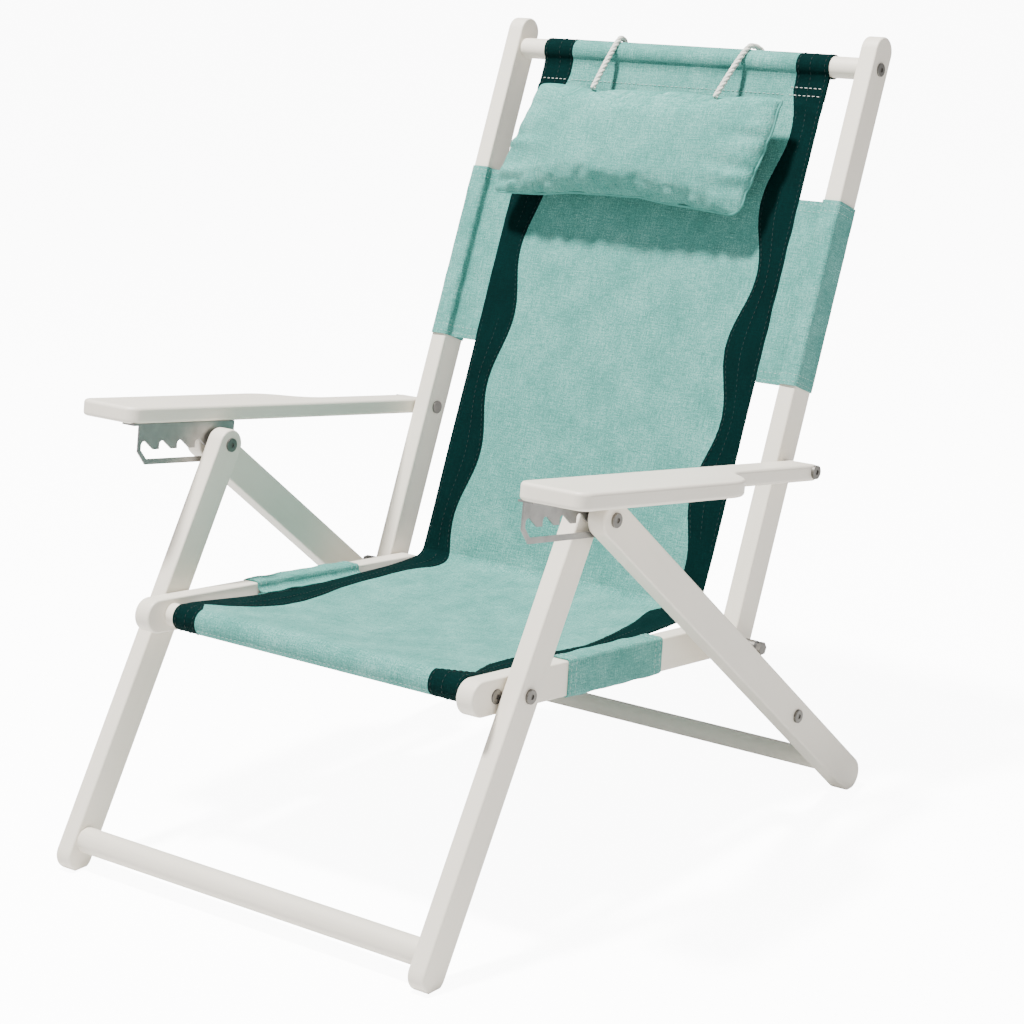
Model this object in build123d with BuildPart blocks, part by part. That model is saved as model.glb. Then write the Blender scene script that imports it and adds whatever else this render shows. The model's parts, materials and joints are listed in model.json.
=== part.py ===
from build123d import *
import os
from math import asin, atan2, cos, degrees, hypot, pi, radians, sin, tan

# Folding beach chair: painted wooden rails, a canvas sling, steel arm racks and a tied pillow.
# Millimetres, +Z up. The chair faces -Y, X runs across it, and the floor is Z = 0.
# Side views are drawn as (Y, Z) points, and names ending in _right lie on the +X side.

# Pivots and dowel centres, as (Y, Z)
FRONT_PIVOT = (-240.8, 255.2)
RACK_PIN = (-142.4, 415.4)
NOSE_DOWEL = (-262.8, 256.2)
BACK_PIVOT = (125.6, 214.6)
ARM_PIVOT = (203.7, 395.3)
TOP_DOWEL = (381.0, 805.5)
LOWER_BOLT = (192.2, 120.5)

# Layers of boards, as distances from the middle of the chair
SEAT_LAYER = (211.5, 232.5)
LEG_LAYER = (235.5, 256.5)
RACK_LAYER = (260.0, 262.0)
REAR_LAYER = (265.5, 286.5)
ARM_LAYER = (258.5, 342.0)
ARM_TAIL_OUTER = 295.0

# Boards
SEAT_DEPTH = 36.5
FRONT_DEPTH = 34.0
REAR_DEPTH = 38.0
BACK_DEPTH = 34.0
EDGE_ROUND = 2.2
FRONT_FOOT_CENTRE_Z = 14.9
REAR_FOOT_CENTRE_Z = 18.6
NOSE_OVERHANG = 18.75
SEAT_TAIL = 2.0
BACK_OVERHANG = 19.5

# Dowels, stretchers and their tenons
NOSE_DOWEL_R = 12.5
TOP_DOWEL_R = 12.0
FRONT_STRETCHER_R = 14.0
REAR_STRETCHER_R = 11.0
FRONT_STRETCHER_Z = 30.0
REAR_STRETCHER_Z = 33.0
TENON_R = 8.0
TENON_LENGTH = 12.0

# Arm boards and racks, measured along the arm from the rack pin and up from its underside
ARM_TILT = 8.83
ARM_THICKNESS = 18.0
PIN_DROP = 23.1
ARM_FRONT = -129.0
ARM_REAR = 355.0
SWEEP_START = 123.0
SWEEP_END = 209.0
ARM_CORNER_R = 14.0
ARM_EDGE_ROUND = 4.0
RACK_NOTCHES = 5
RACK_PITCH = 26.8
RACK_DROP = 44.0
RACK_FRONT = -116.0
RACK_REAR = 28.0
RACK_SLOT_FLOOR = -38.0
RACK_TOOTH = -28.0
RACK_RAMP = 14.0
RACK_FLANGE_T = 2.0
RACK_FLANGE_WIDTH = 18.0
SCREW_R = 1.8
SCREW_HEAD_R = 3.2
SCREW_HEAD = 1.2
SCREW_LENGTH = 11.5

# Steel bolts
SHANK_R = 4.0
HEAD_R = 7.5
THIN_HEAD = 1.7
HEAD = 3.0
DOWEL_SHANK_R = 3.0
DOWEL_SHANK_DEPTH = 30.0
RUNNING = 0.05
FACE_GAP = 0.1
SOCKET_R = 2.9
SOCKET_DEPTH = 1.2
BUSH = 7.8
BARREL_R = 7.3
BARREL_END = 276.0
RING_END = 278.5
BARREL_HEAD_END = 284.0

# Canvas, pillow and its ties
SLING_HALF_WIDTH = 198.0
CANVAS = 2.0
NOSE_CANVAS = 1.6
CANVAS_GAP = 0.2
BACK_SLING_N = 6.0
SEAT_SAG = 10.0
SEAT_BENDS = (-150.0, -40.0)
SEAT_BEND_R = 300.0
TOP_BEND_R = 60.0
CREASE_CORNER = (128.8, 237.1)
SEAT_SLING_END_Y = -29.5
BACK_SLING_START = 155.0
CREASE_R = 25.0
SLEEVE_Y = {"right": (-150.0, 10.0), "left": (-135.0, 30.0)}
SLEEVE_WALL = 1.3
FLAP_FROM = 283.0
FLAP_TO = 490.0
PILLOW_THICKNESS = 70.0
PILLOW_CORNERS = [(-199, 458), (148, 458), (170, 591), (-166, 591)]
PILLOW_CORNER_R = 24.0
PILLOW_EDGE_R = 30.0
CORD_R = 3.5
CORD_BEND_R = 17.3
CORD_BENDS = 3
KNOT_LENGTH = 14.0
KNOT_R = 5.0

# Centre lines of the two ties, as (X, Y, Z)
CORD_RIGHT = [
    (80.0, 321.3, 770.6), (85.0, 373.5, 823.4), (90.0, 388.4, 823.4), (95.0, 398.9, 812.9),
    (95.5, 399.4, 786.9), (98.0, 401.4, 738.9), (104.0, 405.9, 666.9), (112.0, 412.4, 606.9),
]
CORD_LEFT = [
    (-91.0, 321.3, 770.6), (-93.7, 373.5, 823.4), (-96.3, 388.4, 823.4), (-99.0, 398.9, 812.9),
    (-99.5, 399.4, 786.9), (-102.0, 401.4, 738.9), (-108.0, 405.9, 666.9), (-116.0, 412.4, 606.9),
]

SIDES = {"right": 1, "left": -1}


def toward(start, end):
    """Unit direction from one (Y, Z) point to another."""
    length = hypot(end[0] - start[0], end[1] - start[1])
    return ((end[0] - start[0]) / length, (end[1] - start[1]) / length)


def along(start, direction, distance, offset=0.0):
    """Point at a distance along a (Y, Z) direction and offset to its left."""
    y = start[0] + direction[0] * distance - direction[1] * offset
    z = start[1] + direction[1] * distance + direction[0] * offset
    return (y, z)


def at_height(start, direction, z):
    """Point where a (Y, Z) line reaches a height."""
    return along(start, direction, (z - start[1]) / direction[1])


def lowest_x(layer, side):
    """X where extruding a layer towards +X starts, on one side of the chair."""
    return layer[0] if side > 0 else -layer[1]


def width(layer):
    return layer[1] - layer[0]


# Directions of the boards, and the points that follow from them
SEAT_DIR = toward(BACK_PIVOT, NOSE_DOWEL)
FRONT_DIR = toward(RACK_PIN, FRONT_PIVOT)
REAR_DIR = toward(RACK_PIN, LOWER_BOLT)
BACK_DIR = toward(BACK_PIVOT, TOP_DOWEL)
ARM_DIR = (cos(radians(ARM_TILT)), -sin(radians(ARM_TILT)))
ARM_BASE = along(RACK_PIN, ARM_DIR, 0, PIN_DROP)
FRONT_FOOT = at_height(RACK_PIN, FRONT_DIR, FRONT_FOOT_CENTRE_Z)
REAR_FOOT = at_height(RACK_PIN, REAR_DIR, REAR_FOOT_CENTRE_Z)
FRONT_STRETCHER = at_height(RACK_PIN, FRONT_DIR, FRONT_STRETCHER_Z)
REAR_STRETCHER = at_height(RACK_PIN, REAR_DIR, REAR_STRETCHER_Z)


def save(piece, name):
    piece.part.label = name
    export_step(piece.part, f"parts/{name}.step")


def make_rail(name, side, layer, depth, start, end, holes, mortise=None, bores=()):
    """Board with full-round ends centred on start and end, and its bolt holes."""
    direction = toward(start, end)
    length = hypot(end[0] - start[0], end[1] - start[1])
    x = lowest_x(layer, side)
    with BuildPart() as rail:
        with BuildSketch(Plane.YZ.offset(x)):
            with Locations(along(start, direction, length / 2)):
                SlotCenterToCenter(length, depth, rotation=degrees(atan2(direction[1], direction[0])))
        extrude(amount=width(layer))
        if end[1] < depth / 2:
            split(bisect_by=Plane.XY, keep=Keep.TOP)
        faces = rail.faces().filter_by(Axis.X)
        fillet(faces.edges(), EDGE_ROUND)
        with BuildSketch(Plane.YZ.offset(x)):
            with Locations(*holes):
                Circle(SHANK_R + RUNNING)
        extrude(amount=width(layer), mode=Mode.SUBTRACT)
        if bores:
            with BuildSketch(Plane.YZ.offset(x)):
                with Locations(*bores):
                    Circle(DOWEL_SHANK_R + RUNNING)
            extrude(amount=width(layer), mode=Mode.SUBTRACT)
        if mortise:
            with BuildSketch(Plane.YZ.offset(side * layer[0])):
                with Locations(mortise):
                    Circle(TENON_R + RUNNING)
            extrude(amount=side * (TENON_LENGTH + RUNNING), mode=Mode.SUBTRACT)
    save(rail, name)


def make_dowel(name, centre, radius, half_length, bore_depth=0.0, tenon=0.0):
    """Round bar across the chair, with bolt bores or tenons at its ends."""
    with BuildPart() as dowel:
        with BuildSketch(Plane.YZ.offset(-half_length)):
            with Locations(centre):
                Circle(radius)
        extrude(amount=2 * half_length)
        if tenon:
            with BuildSketch(Plane.YZ.offset(-half_length - tenon)):
                with Locations(centre):
                    Circle(TENON_R)
            extrude(amount=2 * (half_length + tenon))
        if bore_depth:
            for side in SIDES.values():
                with BuildSketch(Plane.YZ.offset(side * half_length)):
                    with Locations(centre):
                        Circle(DOWEL_SHANK_R + RUNNING)
                extrude(amount=-side * bore_depth, mode=Mode.SUBTRACT)
    save(dowel, name)


def make_bolts(name, point, seat_x, outward, head, length, shank_r=SHANK_R):
    """Pair of socket-head bolts: heads stand outward (1) or inward (-1) from seat_x."""
    with BuildPart() as bolts:
        for side in SIDES.values():
            up = side * outward
            with BuildSketch(Plane.YZ.offset(side * seat_x)):
                with Locations(point):
                    Circle(HEAD_R)
            extrude(amount=up * head)
            rim = bolts.faces().filter_by(Axis.X).sort_by(Axis.X)
            chamfer(rim[-1 if up > 0 else 0].edges(), 0.5)
            with BuildSketch(Plane.YZ.offset(side * seat_x)):
                with Locations(point):
                    Circle(shank_r)
            extrude(amount=-up * length)
            with BuildSketch(Plane.YZ.offset(side * seat_x + up * head)):
                with Locations(point):
                    RegularPolygon(SOCKET_R, 6)
            extrude(amount=-up * SOCKET_DEPTH, mode=Mode.SUBTRACT)
    save(bolts, name)


def make_rings(name, point, layer, outer_r, inner_r=SHANK_R + RUNNING):
    """Pair of washers, spacers or collars round a bolt."""
    with BuildPart() as rings:
        for side in SIDES.values():
            with BuildSketch(Plane.YZ.offset(lowest_x(layer, side))):
                with Locations(point):
                    Circle(outer_r)
                    Circle(inner_r, mode=Mode.SUBTRACT)
            extrude(amount=width(layer))
    save(rings, name)


def make_back_hinge_bolts():
    """Long bolts through the hinge barrels, with hexagon heads at their outer ends."""
    with BuildPart() as bolts:
        for side in SIDES.values():
            with BuildSketch(Plane.YZ.offset(side * RING_END)):
                with Locations(BACK_PIVOT):
                    RegularPolygon(BARREL_R - 0.1, 6)
            extrude(amount=side * (BARREL_HEAD_END - RING_END))
            with BuildSketch(Plane.YZ.offset(side * RING_END)):
                with Locations(BACK_PIVOT):
                    Circle(SHANK_R)
            extrude(amount=-side * (RING_END - SEAT_LAYER[0] - 1))
    save(bolts, "back_hinge_bolts")


def make_arm_bolts():
    """Bolts through the arm tails and the back rails, with a thin nut inside the rail."""
    nut_x = LEG_LAYER[0] - FACE_GAP
    with BuildPart() as bolts:
        for side in SIDES.values():
            with BuildSketch(Plane.YZ.offset(side * (ARM_TAIL_OUTER + FACE_GAP))):
                with Locations(ARM_PIVOT):
                    Circle(HEAD_R)
            extrude(amount=side * HEAD)
            with BuildSketch(Plane.YZ.offset(side * (ARM_TAIL_OUTER + FACE_GAP))):
                with Locations(ARM_PIVOT):
                    Circle(SHANK_R)
            extrude(amount=-side * (ARM_TAIL_OUTER + FACE_GAP - nut_x + THIN_HEAD))
            with BuildSketch(Plane.YZ.offset(side * nut_x)):
                with Locations(ARM_PIVOT):
                    Circle(HEAD_R)
            extrude(amount=-side * THIN_HEAD)
            with BuildSketch(Plane.YZ.offset(side * (ARM_TAIL_OUTER + FACE_GAP + HEAD))):
                with Locations(ARM_PIVOT):
                    RegularPolygon(SOCKET_R, 6)
            extrude(amount=-side * SOCKET_DEPTH, mode=Mode.SUBTRACT)
    save(bolts, "arm_bolts")


def arm_plane():
    """Underside of the arms: local X across the chair, local Y along the arm to the rear."""
    normal = (0, -ARM_DIR[1], ARM_DIR[0])
    return Plane(origin=(0, *ARM_BASE), x_dir=(1, 0, 0), z_dir=normal)


def rack_plane(x):
    """Side view of a rack: local X along the arm to the rear, local Y up from its underside."""
    return Plane(origin=(x, *ARM_BASE), x_dir=(0, *ARM_DIR), z_dir=(1, 0, 0))


def screw_places(side):
    """Rack screws on the underside of one arm."""
    x = side * (RACK_LAYER[0] + RACK_FLANGE_WIDTH / 2 + 1)
    return [(x, RACK_FRONT + 6), (x, RACK_REAR - 8)]


def make_arm(name, side):
    """Wide arm board that sweeps in behind to a narrow tail, rounded at both ends."""
    inner, outer = side * ARM_LAYER[0], side * ARM_LAYER[1]
    tail = side * ARM_TAIL_OUTER
    middle = ((outer + tail) / 2, (SWEEP_START + SWEEP_END) / 2)
    with BuildPart() as arm:
        with BuildSketch(arm_plane()):
            with BuildLine():
                Polyline((tail, SWEEP_END), (tail, ARM_REAR), (inner, ARM_REAR), (inner, ARM_FRONT),
                         (outer, ARM_FRONT), (outer, SWEEP_START))
                TangentArc((outer, SWEEP_START), middle, tangent=(0, 1))
                TangentArc((tail, SWEEP_END), middle, tangent=(0, -1))
            make_face()
        extrude(amount=ARM_THICKNESS)
        upright = arm.edges().filter_by(lambda e: abs(e.tangent_at(0).Z) > 0.9)
        fillet(upright.sort_by(Axis.Y)[:2], ARM_CORNER_R)
        fillet(arm.faces().sort_by(Axis.Y)[-1].edges().filter_by(Axis.X), ARM_THICKNESS / 2 - 0.4)
        before_tail = ARM_BASE[0] + ARM_REAR - 20
        rims = arm.edges().filter_by(lambda e: e.center().Y < before_tail and abs(e.tangent_at(0).Z) < 0.9)
        up = Axis((0, 0, 0), (0, -ARM_DIR[1], ARM_DIR[0]))
        fillet(rims.group_by(up)[-1] + rims.group_by(up)[0], ARM_EDGE_ROUND)
        with BuildSketch(Plane.YZ.offset(lowest_x(ARM_LAYER, side))):
            with Locations(ARM_PIVOT):
                Circle(SHANK_R + RUNNING)
        extrude(amount=width(ARM_LAYER), mode=Mode.SUBTRACT)
        with BuildSketch(arm_plane()):
            with Locations(*screw_places(side)):
                Circle(SCREW_R + RUNNING)
        extrude(amount=12, mode=Mode.SUBTRACT)
    save(arm, name)


def make_rack(name, side):
    """Steel angle: a flange under the arm and a plate with a notched slot for the pin."""
    x = lowest_x(RACK_LAYER, side)
    with BuildPart() as rack:
        with BuildSketch(rack_plane(x)):
            with BuildLine():
                Polyline((RACK_FRONT, 0), (RACK_FRONT, -30), (RACK_FRONT + 12, -RACK_DROP),
                         (RACK_REAR - 6, -RACK_DROP), (RACK_REAR, -RACK_DROP + 6), (RACK_REAR, 0), close=True)
            make_face()
        extrude(amount=width(RACK_LAYER))
        with BuildSketch(rack_plane(x)):
            with BuildLine():
                front = -RACK_PITCH * (RACK_NOTCHES - 1) - SHANK_R - 0.4
                rear = 18.0
                Polyline((front, RACK_TOOTH), (front + 9, RACK_SLOT_FLOOR),
                         (rear, RACK_SLOT_FLOOR), (rear, RACK_TOOTH - 1))
                for notch in range(RACK_NOTCHES):
                    y = -RACK_PITCH * notch
                    r = SHANK_R + 0.4
                    Line((y - r, RACK_TOOTH), (y - r, -PIN_DROP))
                    ThreePointArc((y - r, -PIN_DROP), (y - r * cos(pi / 4), -PIN_DROP + r * sin(pi / 4)),
                                  (y + r * cos(1.13), -PIN_DROP + r * sin(1.13)))
                    slope_end = (rear, RACK_TOOTH - 1) if notch == 0 else (y + RACK_RAMP, RACK_TOOTH)
                    Line((y + r * cos(1.13), -PIN_DROP + r * sin(1.13)), slope_end)
                    if notch > 0:
                        Line(slope_end, (y + RACK_PITCH - r, RACK_TOOTH))
            make_face()
        extrude(amount=width(RACK_LAYER), mode=Mode.SUBTRACT)
        with BuildSketch(arm_plane()):
            with Locations((side * (RACK_LAYER[0] + RACK_FLANGE_WIDTH / 2), (RACK_FRONT - 8 + RACK_REAR) / 2)):
                Rectangle(RACK_FLANGE_WIDTH, RACK_REAR - RACK_FRONT + 8)
            with Locations(*screw_places(side)):
                Circle(SCREW_R + RUNNING, mode=Mode.SUBTRACT)
        extrude(amount=-RACK_FLANGE_T)
    save(rack, name)


def make_rack_screws():
    with BuildPart() as screws:
        for side in SIDES.values():
            with BuildSketch(arm_plane().offset(-RACK_FLANGE_T)):
                with Locations(*screw_places(side)):
                    Circle(SCREW_HEAD_R)
            extrude(amount=-SCREW_HEAD)
            with BuildSketch(arm_plane().offset(-RACK_FLANGE_T)):
                with Locations(*screw_places(side)):
                    Circle(SCREW_R)
            extrude(amount=SCREW_LENGTH)
    save(screws, "rack_screws")


def sling_front(distance):
    """Point on the front surface of the back panel, at a distance up the back from its pivot."""
    return along(BACK_PIVOT, BACK_DIR, distance, BACK_SLING_N)


def seat_top(y):
    """Point on the top surface of the seat panel, before it meets the back panel."""
    reach = (y - NOSE_DOWEL[0]) / (CREASE_CORNER[0] - NOSE_DOWEL[0])
    front_z = NOSE_DOWEL[1] + NOSE_DOWEL_R + CANVAS_GAP + NOSE_CANVAS
    return (y, front_z + (CREASE_CORNER[1] - front_z) * reach - SEAT_SAG * sin(pi * reach))


def make_sling(name, low_cut=None, high_cut=None):
    """Stretch of the canvas sling between two cutting planes."""
    with BuildPart() as sling:
        with BuildSketch(Plane.YZ.offset(-SLING_HALF_WIDTH)):
            with BuildLine():
                FilletPolyline(seat_top(NOSE_DOWEL[0]), seat_top(SEAT_BENDS[0]), seat_top(SEAT_BENDS[1]),
                               CREASE_CORNER, sling_front(300), TOP_DOWEL,
                               radius=[SEAT_BEND_R, SEAT_BEND_R, CREASE_R, TOP_BEND_R])
                offset(amount=CANVAS, side=Side.RIGHT)
            make_face()
            with Locations(NOSE_DOWEL):
                Circle(NOSE_DOWEL_R + CANVAS_GAP + NOSE_CANVAS)
                Circle(NOSE_DOWEL_R + CANVAS_GAP, mode=Mode.SUBTRACT)
            with Locations(TOP_DOWEL):
                Circle(TOP_DOWEL_R + CANVAS_GAP + CANVAS)
                Circle(TOP_DOWEL_R + CANVAS_GAP, mode=Mode.SUBTRACT)
        extrude(amount=2 * SLING_HALF_WIDTH)
        if low_cut:
            split(bisect_by=low_cut, keep=Keep.TOP)
        if high_cut:
            split(bisect_by=high_cut, keep=Keep.BOTTOM)
    save(sling, name)


def across(origin, direction):
    """Plane square to a board: local X across the chair, local Y to the side that carries the canvas."""
    return Plane(origin=(0, *origin), x_dir=(1, 0, 0), z_dir=(0, *direction))


def make_wrap(name, side, plane, layer, depth, bridge_y, length):
    """Canvas sleeve round a rail, with the strip that joins it to the sling's edge."""
    gap, wall = CANVAS_GAP, SLEEVE_WALL
    middle = side * (layer[0] + layer[1]) / 2
    bridge = layer[0] - gap - wall - SLING_HALF_WIDTH - 0.3
    with BuildPart() as wrap:
        with BuildSketch(plane):
            with Locations((middle, 0)):
                RectangleRounded(width(layer) + 2 * (gap + wall), depth + 2 * (gap + wall), 3)
            with Locations((side * (SLING_HALF_WIDTH + 0.3 + bridge / 2 + 0.5), bridge_y)):
                Rectangle(bridge + 1, wall)
            with Locations((middle, 0)):
                RectangleRounded(width(layer) + 2 * gap, depth + 2 * gap, 1.7, mode=Mode.SUBTRACT)
        extrude(amount=length)
    save(wrap, name)


def make_pillow():
    """Plump tied pillow that rests on the upper part of the back panel."""
    base = along(BACK_PIVOT, BACK_DIR, 0, BACK_SLING_N + 0.3)
    with BuildPart() as pillow:
        with BuildSketch(Plane(origin=(0, *base), x_dir=(1, 0, 0), z_dir=(0, -BACK_DIR[1], BACK_DIR[0]))):
            with BuildLine():
                FilletPolyline(*PILLOW_CORNERS, radius=PILLOW_CORNER_R, close=True)
            make_face()
        extrude(amount=PILLOW_THICKNESS)
        fillet(pillow.faces().filter_by(GeomType.PLANE).group_by(SortBy.AREA)[-1].edges(), PILLOW_EDGE_R)
    save(pillow, "pillow")


def make_cord(name, knot_name, points):
    """Tie that leaves the pillow's top seam, crosses the top dowel and hangs behind it, with its knot."""
    vectors = [Vector(*point) for point in points]
    radii = []
    for i in range(1, len(vectors) - 1):
        before, after = vectors[i] - vectors[i - 1], vectors[i + 1] - vectors[i]
        half_turn = radians(before.get_angle(after)) / 2
        largest = 0.45 * min(before.length, after.length) / tan(half_turn)
        radii.append(min(largest, CORD_BEND_R) if i <= CORD_BENDS else largest)
    with BuildPart() as cord:
        with BuildLine() as path:
            FilletPolyline(*points, radius=radii)
        route = path.wires()[0]
        with BuildSketch(Plane(origin=route @ 0, z_dir=route % 0)):
            Circle(CORD_R)
        sweep()
    length = route.length
    print(name, "radii", [round(r, 1) for r in radii], "length", round(length, 1),
          "volume ratio", round(cord.part.volume / (pi * CORD_R ** 2 * length), 4))
    save(cord, name)
    with BuildPart() as knot:
        with BuildSketch(Plane(origin=route @ 1, z_dir=route % 1)):
            Circle(KNOT_R)
        extrude(amount=KNOT_LENGTH, taper=-8)
        fillet(knot.edges().sort_by(Axis.Z)[:1], 2.5)
    save(knot, knot_name)


os.makedirs("parts", exist_ok=True)

for word, side in SIDES.items():
    seat_front = along(NOSE_DOWEL, SEAT_DIR, NOSE_OVERHANG)
    seat_rear = along(BACK_PIVOT, SEAT_DIR, -SEAT_TAIL)
    make_rail(f"seat_rail_{word}", side, SEAT_LAYER, SEAT_DEPTH, seat_rear, seat_front,
              [FRONT_PIVOT, BACK_PIVOT], bores=[NOSE_DOWEL])
    make_rail(f"front_leg_{word}", side, LEG_LAYER, FRONT_DEPTH, RACK_PIN, FRONT_FOOT,
              [RACK_PIN, FRONT_PIVOT], mortise=FRONT_STRETCHER)
    make_rail(f"rear_leg_{word}", side, REAR_LAYER, REAR_DEPTH, RACK_PIN, REAR_FOOT,
              [RACK_PIN, LOWER_BOLT], mortise=REAR_STRETCHER)
    make_rail(f"back_rail_{word}", side, LEG_LAYER, BACK_DEPTH, BACK_PIVOT,
              along(TOP_DOWEL, BACK_DIR, BACK_OVERHANG), [BACK_PIVOT, ARM_PIVOT], bores=[TOP_DOWEL])
    make_arm(f"arm_{word}", side)
    make_rack(f"rack_{word}", side)

make_dowel("seat_front_dowel", NOSE_DOWEL, NOSE_DOWEL_R, SEAT_LAYER[0], bore_depth=DOWEL_SHANK_DEPTH)
make_dowel("back_top_dowel", TOP_DOWEL, TOP_DOWEL_R, LEG_LAYER[0], bore_depth=DOWEL_SHANK_DEPTH)
make_dowel("front_stretcher", FRONT_STRETCHER, FRONT_STRETCHER_R, LEG_LAYER[0], tenon=TENON_LENGTH)
make_dowel("rear_stretcher", REAR_STRETCHER, REAR_STRETCHER_R, REAR_LAYER[0], tenon=TENON_LENGTH)

make_bolts("nose_bolts", NOSE_DOWEL, SEAT_LAYER[1], 1, THIN_HEAD,
           width(SEAT_LAYER) + DOWEL_SHANK_DEPTH - 2, DOWEL_SHANK_R)
make_bolts("top_bolts", TOP_DOWEL, LEG_LAYER[1], 1, THIN_HEAD,
           width(LEG_LAYER) + DOWEL_SHANK_DEPTH - 2, DOWEL_SHANK_R)
make_bolts("front_pivot_bolts", FRONT_PIVOT, LEG_LAYER[1] + FACE_GAP, 1, HEAD,
           LEG_LAYER[1] - SEAT_LAYER[0] - 1)
make_rings("front_pivot_washers", FRONT_PIVOT,
           (SEAT_LAYER[1] + FACE_GAP, LEG_LAYER[0] - FACE_GAP), HEAD_R + 1)
make_bolts("front_rack_pins", RACK_PIN, LEG_LAYER[0], -1, THIN_HEAD, RACK_LAYER[0] - 0.3 - LEG_LAYER[0])
make_rings("front_rack_spacers", RACK_PIN, (LEG_LAYER[1], RACK_LAYER[0] - 0.5), HEAD_R)
make_bolts("rear_rack_pins", RACK_PIN, REAR_LAYER[1], 1, HEAD, REAR_LAYER[1] - RACK_LAYER[1] - 0.3)
make_rings("rear_rack_spacers", RACK_PIN, (RACK_LAYER[1] + 0.5, REAR_LAYER[0]), HEAD_R)
make_bolts("lower_bolts", LOWER_BOLT, REAR_LAYER[1], 1, HEAD, width(REAR_LAYER) + BUSH)
make_rings("lower_bushes", LOWER_BOLT, (REAR_LAYER[0] - BUSH, REAR_LAYER[0]), HEAD_R)

make_back_hinge_bolts()
make_rings("back_hinge_washers", BACK_PIVOT,
           (SEAT_LAYER[1] + FACE_GAP, LEG_LAYER[0] - FACE_GAP), HEAD_R + 1)
make_rings("back_hinge_barrels", BACK_PIVOT, (LEG_LAYER[1] + FACE_GAP, BARREL_END), BARREL_R)
make_rings("back_hinge_rings", BACK_PIVOT, (BARREL_END, RING_END), BARREL_R - 0.4)
make_arm_bolts()
make_rings("arm_washers", ARM_PIVOT, (LEG_LAYER[1] + FACE_GAP, ARM_LAYER[0] - FACE_GAP), HEAD_R)
make_rack_screws()

seat_cut = Plane(origin=(0, SEAT_SLING_END_Y, 0), z_dir=(0, 1, 0))
back_cut = Plane(origin=(0, *along(BACK_PIVOT, BACK_DIR, BACK_SLING_START)), z_dir=(0, *BACK_DIR))
make_sling("seat_sling", high_cut=seat_cut)
make_sling("sling_crease", low_cut=seat_cut, high_cut=back_cut)
make_sling("back_sling", low_cut=back_cut)

for word, side in SIDES.items():
    front_y, rear_y = SLEEVE_Y[word]
    sleeve_start = along(BACK_PIVOT, SEAT_DIR, (rear_y - BACK_PIVOT[0]) / SEAT_DIR[0])
    sleeve_length = (front_y - rear_y) / SEAT_DIR[0]
    make_wrap(f"seat_sleeve_{word}", side, across(sleeve_start, SEAT_DIR), SEAT_LAYER, SEAT_DEPTH,
              SEAT_DEPTH / 2 - SEAT_SAG + 1, sleeve_length)
    flap_start = along(BACK_PIVOT, BACK_DIR, FLAP_TO)
    down = (-BACK_DIR[0], -BACK_DIR[1])
    make_wrap(f"back_flap_{word}", side, across(flap_start, down), LEG_LAYER, BACK_DEPTH,
              BACK_SLING_N - 1, FLAP_TO - FLAP_FROM)

make_pillow()
make_cord("pillow_cord_right", "cord_knot_right", CORD_RIGHT)
make_cord("pillow_cord_left", "cord_knot_left", CORD_LEFT)
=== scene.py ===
import json
from math import cos, pi, radians, sin, tau

import bpy
import numpy as np
from mathutils import Matrix, Vector


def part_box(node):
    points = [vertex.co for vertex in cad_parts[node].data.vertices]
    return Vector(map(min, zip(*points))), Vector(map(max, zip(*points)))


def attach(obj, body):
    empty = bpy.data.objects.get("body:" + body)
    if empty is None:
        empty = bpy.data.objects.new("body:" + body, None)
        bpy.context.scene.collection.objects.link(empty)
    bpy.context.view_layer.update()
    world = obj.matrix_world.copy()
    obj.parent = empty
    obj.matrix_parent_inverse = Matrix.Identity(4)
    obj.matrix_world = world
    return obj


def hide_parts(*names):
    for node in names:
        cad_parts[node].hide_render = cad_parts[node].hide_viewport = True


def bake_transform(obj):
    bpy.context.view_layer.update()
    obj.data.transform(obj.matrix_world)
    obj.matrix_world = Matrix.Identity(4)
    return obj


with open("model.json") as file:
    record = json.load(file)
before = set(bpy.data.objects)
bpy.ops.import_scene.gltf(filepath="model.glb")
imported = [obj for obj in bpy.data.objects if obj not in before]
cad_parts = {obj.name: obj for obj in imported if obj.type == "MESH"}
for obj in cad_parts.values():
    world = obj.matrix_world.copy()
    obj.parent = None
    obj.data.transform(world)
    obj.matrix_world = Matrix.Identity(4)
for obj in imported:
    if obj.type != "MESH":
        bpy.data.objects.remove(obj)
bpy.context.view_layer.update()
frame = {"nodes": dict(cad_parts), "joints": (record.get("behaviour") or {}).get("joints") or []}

# Metres, +Z up. The chair faces -Y, and +X is on the right as seen from in front.
# A distance is measured up the back rails from their pivot, and is negative on the seat.

# Camera
CAMERA_PLACE = (1.7578, -2.1327, 1.0858)
CAMERA_AZIMUTH = 38.81
CAMERA_ELEVATION = 14.97
CAMERA_ROLL = -0.487
CAMERA_LENS = 92.7

# Sling. Its edge is half its width from the middle, its front is how far its outer face lies
# in front of the back rails' middle line, and the seat's panel hands over to the back's at
# the split.
CANVAS = 0.0016
CANVAS_GAP = 0.0002
THREAD_PITCH = 0.0013
SLING_EDGE = 0.198
SLING_FRONT = 0.006
SLING_SPLIT = 0.030
SEAT_SAG = 0.010
CREASE_CORNER = (0.1288, 0.2371)
PATH_STEP = 0.003
# Hems, as parts of the way to the crease under the seat and as distances behind the back
SEAT_HEM = (0.10, 0.08, 0.06)
BACK_HEM = (0.626, 0.618, 0.610, 0.602)
BACK_PANEL_TOP = 0.622
SEAT_BAR_AT = -0.362
BACK_BAR_AT = 0.600
SEAT_HEM_SEAM = -0.398
BACK_HEM_SEAM = 0.606
BACK_HEM_SECOND_SEAM = 0.613

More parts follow.
